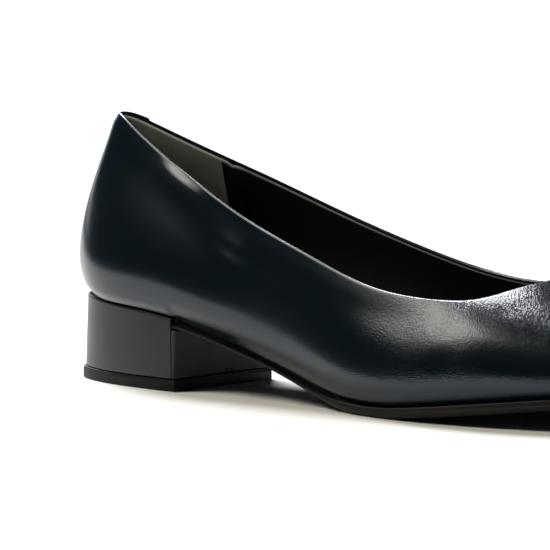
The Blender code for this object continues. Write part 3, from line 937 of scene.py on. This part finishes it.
@dataclass
class Lining:
    """Black lining of the upper with its cut top edge, and the suede grip at the back."""

    form: ShoeForm
    columns: int = 560
    rows: int = 34
    top: float = 0.42
    face: float = 1.72
    thickness: float = 0.62
    grip_end: float = 3.27
    grip_face: float = 2.12
    flap: float = 0.55

    def edge_depth(self, stations: Array) -> Array:
        """How far under the collar the cut edge lies, with a small dip at each end of the grip."""
        return self.top + 0.55 * hill(np.abs(round_station(stations)), self.grip_end + 0.06, 0.05)

    def lift_over_grip(self, stations: Array) -> Array:
        """Extra thickness where the lining's flap lies over the front edge of the grip."""
        past = np.abs(round_station(stations)) - self.grip_end
        return self.flap * ease(past, -0.14, -0.11) * (1 - ease(past, 0.16, 0.30))

    def sheet(self, stations: Array, face: Array, back: float, bottom: float, rows: int) -> tuple:
        """Thin shell inside the upper, with a rounded top edge.

        Args:
            stations: a station per column.
            face: depth of the seen face behind the skin, a value per station.
            back: depth of the hidden face behind the skin.
            bottom: share at its foot.
            rows: rows of the seen face.

        Returns:
            Rows round the shell by stations by 3, and how much each point takes the lighter top-edge colour,
            from 0 to 1: the raw cut edge's own tone with a painted highlight on it.
        """
        form = self.form
        top = self.edge_depth(stations)
        high = form.share_below(stations, top)
        down = np.linspace(0, 1, rows)[:, None] ** 1.2
        front = high * (1 - down) + bottom * down
        layers = [(front[::-1], face)]
        for rise, depth in ((0.16, face - 0.04), (0.28, face * 0.75 + back * 0.25), (0.32, (face + back) / 2),
                            (0.2, back + 0.02)):
            layers.append((form.share_below(stations, top - rise)[None], depth))
        layers.append((front[::6], back))
        shares = np.concatenate([share for share, _ in layers])
        depth = np.concatenate([np.broadcast_to(value, share.shape) for share, value in layers])
        # the top 0.5 to 0.85 mm of the sheet takes the lighter edge colour: partly the raw cut edge's own
        # tone, partly a painted highlight where the top edge catches the light from above
        crown = form.share_below(stations, top - 0.32)
        down_from_top = (crown[None] - shares) * form.wall_length(stations)[None]
        return form.inside(stations, shares, depth[..., None]), 1 - ease(down_from_top, 0.5, 0.85)

    def build_lining(self) -> bpy.types.Object:
        """Makes the lining as one closed ring, with more columns where it laps over the grip's ends.

        Returns:
            The new piece.
        """
        near = self.grip_end + np.linspace(-0.2, 0.4, 40)
        at = np.concatenate([even_stations(self.columns), near, STATIONS - near])
        at = np.unique(np.round(at, 5))
        face = self.face + self.lift_over_grip(at)
        points, raw_edge_and_highlight = self.sheet(at, face, self.face - self.thickness, 0.13, self.rows)
        return Surface.ring(points, {"raw_edge_and_highlight": raw_edge_and_highlight}, self.form.wrap_uv(at, len(points))).build("quarter_lining")

    def build_grip(self) -> bpy.types.Object:
        """Makes the heel grip as an open band of the same section, closed at both ends.

        Returns:
            The new piece.
        """
        at = np.linspace(-self.grip_end, self.grip_end, 260)
        face = np.full(len(at), self.grip_face)
        points, raw_edge_and_highlight = self.sheet(at, face, self.face + 0.03, 0.20, self.rows)
        item = Surface.ring(points, {"raw_edge_and_highlight": raw_edge_and_highlight}, None, closed=False).build("heel_grip")
        turn_outward(item.data, fill=True)
        return item


# ---- soles


@dataclass
class Soles:
    """Outsole and the sock lining on the insole."""

    form: ShoeForm
    columns: int = 720
    across: int = 36
    sock_low: float = 1.9
    sock_high: float = 4.3
    waist_edge: float = 1.0
    # share of the thickness where the painted highlight line lies, and how far it fades
    highlight_line_height: float = 0.945
    highlight_line_fade: float = 0.06
    # share of the length, reach past the bottom edge of the upper, thickness
    table: tuple = (
        (0.00, -3.6, 0.8), (0.224, -3.4, 0.8), (0.229, -0.5, 3.3), (0.27, -1.3, 3.4), (0.38, -1.2, 2.8),
        (0.48, -0.4, 3.3), (0.56, 0.9, 3.6), (1.00, 1.1, 3.6),
    )

    def column(self, x: Array, number: int) -> Array:
        """Value of a column of the outsole's table at a distance from the seat back."""
        rows = np.array(self.table)
        return np.interp(x, rows[:, 0] * self.form.length, rows[:, number])

    def seat(self, x: Array) -> Array:
        """Height of the outsole's upper face where it meets the upper."""
        return self.form.edge_height(x) - GAP

    def foot(self, x: Array) -> Array:
        """Height of the outsole's lower face, flat on the floor under the ball."""
        return np.maximum(self.seat(x) - self.column(x, 2), 0.0)

    def rim(self, x: Array) -> Array:
        """Height of the edge's top, which thins to waist_edge above its foot behind the ball.

        Args:
            x: distances from the seat back.

        Returns:
            A height per distance.
        """
        full = self.seat(x)
        thin = np.minimum(self.foot(x) + self.waist_edge, full)
        return full + (thin - full) * (1 - ease(x, *BALL_START))

    def build_outsole(self) -> bpy.types.Object:
        """Makes the outsole: its edge is a profile of reach and height carried round the bottom edge.

        The profile has a narrow rolled rim on top, a side that swells out by a tenth of its thickness and
        a bevel below. Behind its thin edge in the waist the upper face rises to the upper's foot.

        Returns:
            The new piece.
        """
        edge = self.form.control_loops(even_stations(self.columns))[0]
        away = outward(edge)
        x = edge[:, 0]
        foot, top, waist = self.foot(x), self.rim(x), self.form.waist(x)
        reach, thick = self.column(x, 1) - 0.5 * waist, top - foot
        profile = np.array([  # inset and height as shares of the thickness, from the foot up
            (0.66, 0.00), (0.50, 0.012), (0.37, 0.05), (0.25, 0.12), (0.15, 0.22), (0.07, 0.34), (0.02, 0.47),
            (0.01, 0.60), (0.03, 0.72), (0.06, 0.80), (0.075, 0.84), (0.05, 0.87), (0.02, 0.905), (0.01, 0.94),
            (0.03, 0.97), (0.08, 0.99), (0.14, 1.00),
        ])
        inset = profile[:, :1] * thick[None]
        loops = edge[None] + away[None] * (reach[None] - inset)[..., None]
        loops[..., 2] = foot[None] + profile[:, 1:] * thick[None]
        for inset, share in ((0.9, 0.12), (1.8, 0.55), (2.6, 0.9), (3.2, 1.0)):
            loop = edge + away * (reach - np.minimum(inset, 0.9 + 2.3 * waist))[:, None]
            loop[:, 2] = top + share * (self.seat(x) - top)
            loops = np.concatenate([loops, loop[None]])
        surface = Surface.stack(loops, self.across, self.foot, self.seat)
        level = np.zeros(len(surface.points))
        # painted highlight: a paler brown line round the edge just under its rolled top, where the rim catches
        # the light
        painted_highlight_line = np.clip(1 - np.abs(profile[:, 1] - self.highlight_line_height) / self.highlight_line_fade, 0, 1)
        rim = np.repeat(painted_highlight_line, self.columns)
        level[: len(rim)] = rim
        surface.values["rim"] = level
        return surface.build("outsole_rubber", merge=True)

    def dish(self, x: Array, share: Array) -> Array:
        """How far the sock lining sinks along its middle: a squared sine across, eased at both ends."""
        return 0.7 * np.sin(np.pi * share) ** 2 * ease(x, 0.0, 30.0) * (1 - ease(x, 200.0, 240.0))

    def build_sock(self) -> bpy.types.Object:
        """Makes the sock lining with the insole under it, softly dished along its middle.

        Returns:
            The new piece.
        """
        height = self.form.edge_height
        edge = self.form.control_loops(even_stations(self.columns // 2))[0]
        away = outward(edge)
        low, high = self.sock_low, self.sock_high
        lid = np.stack([on_height(edge - away * inset, height) + UP * rise for inset, rise in (
            (2.2, low), (2.6, high - 0.9), (2.9, high - 0.25), (3.3, high))])
        surface = Surface.stack(lid, self.across, lambda x: height(x) + low, lambda x: height(x) + high,
                                self.dish)
        return surface.build("sock_lining", merge=True)


# ---- heel


@dataclass(frozen=True)
class Plan:
    """Plan of the heel at one level: how far its back, front and half width lie from seat back and axis."""

    back: float
    front: float
    half: float


@dataclass
class Heel:
    """Covered block, its breast cover and the top lift."""

    form: ShoeForm
    soles: Soles
    block_top: Plan = Plan(4.2, 57.4, 24.4)
    block_foot: Plan = Plan(3.2, 58.1, 24.9)
    lift: Plan = Plan(1.9, 59.5, 25.0)
    centre: float = 80.0
    power: float = 2.15
    cover_front: float = 59.5
    lift_thick: float = 3.9
    nicks: tuple[float, ...] = (1.2, 3.8)
    nick_width: float = 0.9
    nick_height: float = 1.3
    nick_depth: float = 0.9
    points: int = 480
    corner: float = 0.5
    lift_corner: float = 0.45
    strip_radius: float = 0.75
    strip_steps: tuple[int, int] = (60, 180)
    # inset and height of the lift's side, with its small ledge
    ledge: tuple = (
        (0.35, 0.0), (0.12, 0.06), (0.02, 0.22), (0.0, 0.45), (0.0, 1.3), (0.0, 2.2), (0.0, 2.95),
        (0.02, 3.08), (0.07, 3.14), (0.13, 3.18), (0.17, 3.22), (0.18, 3.32), (0.18, 3.7), (0.26, 3.84),
        (0.45, 3.9),
    )

    def outline(self, plan: Plan, corner: float) -> Array:
        """Closed plan curve that starts at the back and has the middle of the breast half way round.

        The back is a superellipse about a centre ahead of the heel: x = centre - reach * cos(a)^(2/p),
        y = wide * sin(a)^(2/p). A straight breast closes it, and a running mean rounds its corners.

        Args:
            plan: sizes of the curve.
            corner: width of the running mean, which is about the corner's radius.

        Returns:
            A point per step, with height 0.
        """
        reach = self.centre - plan.back
        ahead = (self.centre - plan.front) / reach
        wide = plan.half / (1 - ahead**self.power) ** (1 / self.power)
        angle = np.linspace(0, math.acos(ahead ** (self.power / 2)), 2400)
        x = self.centre - reach * np.cos(angle) ** (2 / self.power)
        y = -wide * np.sin(angle) ** (2 / self.power)
        keep = x <= plan.front
        breast = y[keep][-1] * np.linspace(1, 0, 500)
        x = np.concatenate([x[keep], np.full(len(breast), plan.front)])
        y = np.concatenate([y[keep], breast])
        length = walked(x, y)
        even = np.linspace(0, length[-1], 3001)
        loop = both_halves(np.interp(even, length, x), np.interp(even, length, y))
        window = np.hanning(2 * max(round(corner / even[1]), 1) + 3)[1:-1]
        window /= window.sum()
        pad = len(window) // 2
        closed = np.concatenate([loop[-pad:], loop, loop[:pad]])
        return self.gather(*(np.convolve(closed[:, axis], window, "valid") for axis in (0, 1)))

    def gather(self, x: Array, y: Array) -> Array:
        """Same closed curve with fewer points, closer together where it turns.

        Args:
            x: distances along the shoe, outer half first.
            y: distances across it.

        Returns:
            A point per step, with height 0.
        """
        part = np.column_stack([x, y])[: len(x) // 2 + 1]
        along = np.gradient(part, axis=0)
        heading = np.unwrap(np.arctan2(along[:, 1], along[:, 0]))
        weight = np.linalg.norm(along, axis=1) + 6.0 * np.abs(np.gradient(heading))
        place = np.concatenate([[0], np.cumsum((weight[1:] + weight[:-1]) / 2)])
        even = np.linspace(0, place[-1], self.points // 2 + 1)
        x, y = np.interp(even, place, part[:, 0]), np.interp(even, place, part[:, 1])
        y[0] = y[-1] = 0.0
        return both_halves(x, y)

    def build_block(self) -> bpy.types.Object:
        """Makes the covered block: walls blend from its foot plan to its top plan, with soft edges.

        The rim follows the bottom edge of the upper and the hollow inside it takes the outsole's seat.

        Returns:
            The new piece.
        """
        base = self.lift_thick + GAP
        low, high = self.outline(self.block_foot, self.corner), self.outline(self.block_top, self.corner)
        rim = lambda x: self.form.edge_height(x) - 0.45
        seat = lambda x: self.soles.foot(x) - GAP
        # share of the height and inset, up the wall and over its rounded top
        walls = [(0.0, 0.45), (0.0, 0.25), (0.003, 0.10), (0.010, 0.02), (0.022, 0.0)]
        walls += [(share, 0.0) for share in np.linspace(0.06, 0.96, 16)]
        walls += [(0.975, 0.0), (0.987, 0.05), (0.995, 0.16), (1.0, 0.32)]
        loops = []
        for share, inset in walls:
            loop = low * (1 - share) + high * share - outward(low) * inset
            loop[:, 2] = base + share * (rim(loop[:, 0]) - base)
            loops.append(loop)
        # then over the rim and down into the hollow
        inner = high - outward(high) * 1.2
        inner[:, 0] = np.minimum(inner[:, 0], self.block_top.front - 0.3)
        loops += [on_height(inner, rim), on_height(inner, seat)]
        surface = Surface.stack(np.stack(loops), 24, lambda x: np.full(np.shape(x), base), seat)
        return surface.build("heel_cover", merge=True)

    def build_breast(self) -> bpy.types.Object:
        """Makes the breast cover: a rounded strip from the lift up to the outsole, with two small nicks.

        Returns:
            The new piece.
        """
        base = self.lift_thick + GAP
        high = float(self.soles.foot(np.array([self.cover_front]))[0]) - GAP
        close = self.nick_height / (high - base) + np.array([-0.012, -0.004, 0.004, 0.012])
        middle = np.sort(np.concatenate([close, np.linspace(0.025, 0.97, 40)]))
        levels = np.concatenate([[0, 0.004, 0.015], middle, [0.985, 0.996, 1.0]])
        insets = np.concatenate([[0.3, 0.1, 0.02], np.zeros(len(middle)), [0.02, 0.1, 0.3]])
        loops = []
        near, wide = self.block_foot, self.nick_width / 2
        for share, inset in zip(levels, insets):
            rise = share * (high - base)
            back = near.front + GAP + share * (self.block_top.front - near.front)
            half = near.half + share * (self.block_top.half - near.half)
            loop = self.strip_plan(back + inset, self.cover_front - inset, half - inset, base + rise)
            nicked = 1 - ease(rise, self.nick_height - 0.2, self.nick_height + 0.1)
            for centre in self.nicks:
                inside = 1 - ease(np.abs(loop[:, 1] - centre), wide - 0.12, wide + 0.12)
                loop[:, 0] -= self.nick_depth * nicked * inside * (loop[:, 0] > self.cover_front - 0.5)
            loops.append(loop)
        surface = Surface.stack(np.stack(loops), 12, lambda x: np.full(np.shape(x), base),
                                lambda x: np.full(np.shape(x), high))
        return surface.build("breast_leather", merge=True)

    def strip_plan(self, back: float, front: float, half: float, height: float) -> Array:
        """Plan loop of the breast cover: a slim rectangle with rounded front corners, from its back.

        Args:
            back: its rear face.
            front: its front face.
            half: half of its width.
            height: height of the loop.

        Returns:
            Closed loop that starts at the middle of the back.
        """
        radius = self.strip_radius
        angle = np.linspace(0, np.pi / 2, 9)
        side = np.linspace(back, front - radius, 6)[:-1]
        behind, ahead = self.strip_steps
        x = np.concatenate([[back] * behind, side, front - radius + radius * np.sin(angle), [front] * ahead])
        y = np.concatenate([-np.linspace(0, half, behind + 1)[:-1], [-half] * len(side),
                            -half + radius - radius * np.cos(angle),
                            -np.linspace(half - radius, 0, ahead + 1)[1:]])
        return both_halves(x, y, height)

    def build_lift(self) -> bpy.types.Object:
        """Makes the top lift: straight rubber sides with a small ledge round the upper edge.

        Returns:
            The new piece.
        """
        plan = self.outline(self.lift, self.lift_corner)
        loops = np.stack([plan - outward(plan) * inset + UP * height for inset, height in self.ledge])
        surface = Surface.stack(loops, 24, lambda x: np.zeros(np.shape(x)),
                                lambda x: np.full(np.shape(x), self.lift_thick))
        return surface.build("lift_rubber", merge=True)


# ---- studio


@dataclass
class Studio:
    """Camera, floor and lights. Angles are degrees and sizes are metres."""

    azimuth: float = 39.0
    elevation: float = 4.72
    distance: float = 1.15
    target: tuple[float, float, float] = (0.051, 0.0, 0.0374)
    focal_pixels: float = 3565.0
    floor_size: float = 160.0

    @staticmethod
    def direction(azimuth: float, elevation: float) -> Vector:
        """Unit vector toward an azimuth, which is 0 toward -Y and 90 toward +X, and an elevation."""
        a, e = math.radians(azimuth), math.radians(elevation)
        return Vector((math.sin(a) * math.cos(e), -math.cos(a) * math.cos(e), math.sin(e)))

    def build_camera(self) -> None:
        """Places the camera where the photograph was taken from."""
        data = bpy.data.cameras.new("camera")
        data.sensor_width = SENSOR
        data.lens = self.focal_pixels / PICTURE * SENSOR
        data.clip_start, data.clip_end = 0.05, 400.0
        camera = add_object("camera", data)
        back = self.direction(self.azimuth, self.elevation)
        camera.location = Vector(self.target) + back * self.distance
        camera.rotation_euler = (-back).to_track_quat("-Z", "Y").to_euler()
        bpy.context.scene.camera = camera

    def build_floor(self) -> None:
        """Lays a large plain pale floor."""
        side = np.linspace(-self.floor_size / 2, self.floor_size / 2, 9)
        x, y = np.meshgrid(side, side, indexing="ij")
        mesh = bpy.data.meshes.new("floor")
        points = np.stack([x, y, np.zeros_like(x)], -1).reshape(-1, 3)
        mesh.from_pydata(points.tolist(), [], grid_faces(9, 9, False, False)[:, ::-1].tolist())
        mesh.materials.append(FLOOR.build())
        floor = add_object("floor", mesh)

    def add_sun(self, azimuth: float, elevation: float, strength: float, spread: float) -> None:
        """Adds a wide soft sun from a direction.

        Args:
            azimuth: direction that it stands in.
            elevation: angle above the floor.
            strength: its strength.
            spread: angle that it fills.
        """
        data = bpy.data.lights.new("sun", "SUN")
        data.energy, data.angle = strength, math.radians(spread)
        turn = self.direction(azimuth, elevation).to_track_quat("Z", "Y")
        add_object("sun", data).rotation_euler = turn.to_euler()

    def add_panel(self, azimuth: float, elevation: float, away: float, size: tuple[float, float],
                  power: float, tint: Colour) -> None:
        """Adds a soft rectangular light that faces the shoe from a direction and distance.

        Args:
            azimuth: direction that it stands in.
            elevation: angle above the floor.
            away: distance from the shoe.
            size: its width and height.
            power: its power in watts.
            tint: its colour.
        """
        data = bpy.data.lights.new("panel", "AREA")
        data.shape, data.size, data.size_y = "RECTANGLE", *size
        data.energy, data.color = power, tint
        lamp = add_object("panel", data)
        back = self.direction(azimuth, elevation)
        lamp.location = Vector(self.target) + back * away
        lamp.rotation_euler = back.to_track_quat("Z", "Y").to_euler()

    def build_lights(self) -> None:
        """Sets the soft studio light: dark surroundings, a wide sun from behind the heel, two warm panels
        in front of the shoe's outer side and a large cool one low behind it."""
        world = bpy.data.worlds.new("studio")
        world.use_nodes = True
        world.node_tree.nodes["Background"].inputs["Color"].default_value = (0.014, 0.018, 0.022, 1)
        bpy.context.scene.world = world
        self.add_sun(240, 44, 6.1, 32)
        self.add_panel(-50, 56, 1.6, (0.66, 0.76), 14.6, (1.0, 0.95, 0.78))
        self.add_panel(-54, 38, 1.6, (0.58, 0.30), 2.0, (1.0, 0.96, 0.80))
        self.add_panel(-122, 14, 3.0, (1.9, 1.2), 8.6, (0.92, 0.97, 1.0))
        settings = bpy.context.scene.view_settings
        settings.view_transform = "Standard"
        settings.look = "None"


# ---- main


def main() -> None:
    """Builds every piece of the shoe, then the studio."""
    logging.basicConfig(level=logging.INFO, format="%(message)s")
    for make_group in (make_grain_group, make_patch_group, make_band_group):
        make_group()
    form = ShoeForm()
    dress(Upper(form).build(), NAVY.build(), Piece.UPPER, Piece.UPPER)
    lining = Lining(form)
    dress(lining.build_lining(), LINING.build(), Piece.UPPER)
    dress(lining.build_grip(), SUEDE.build(), Piece.UPPER)
    soles = Soles(form)
    dress(soles.build_outsole(), SOLE.build(), Piece.OUTSOLE, Piece.OUTSOLE)
    dress(soles.build_sock(), SOCK.build(), Piece.INSOLE, Piece.INSOLE)
    heel = Heel(form, soles)
    dress(heel.build_block(), COVER.build(), Piece.HEEL_BLOCK, Piece.HEEL_BLOCK)
    dress(heel.build_breast(), BREAST.build(), Piece.BREAST_COVER, Piece.BREAST_COVER)
    dress(heel.build_lift(), RUBBER.build(), Piece.TOP_LIFT, Piece.TOP_LIFT)
    studio = Studio()
    studio.build_camera()
    studio.build_floor()
    studio.build_lights()


if __name__ == "__main__":
    main()
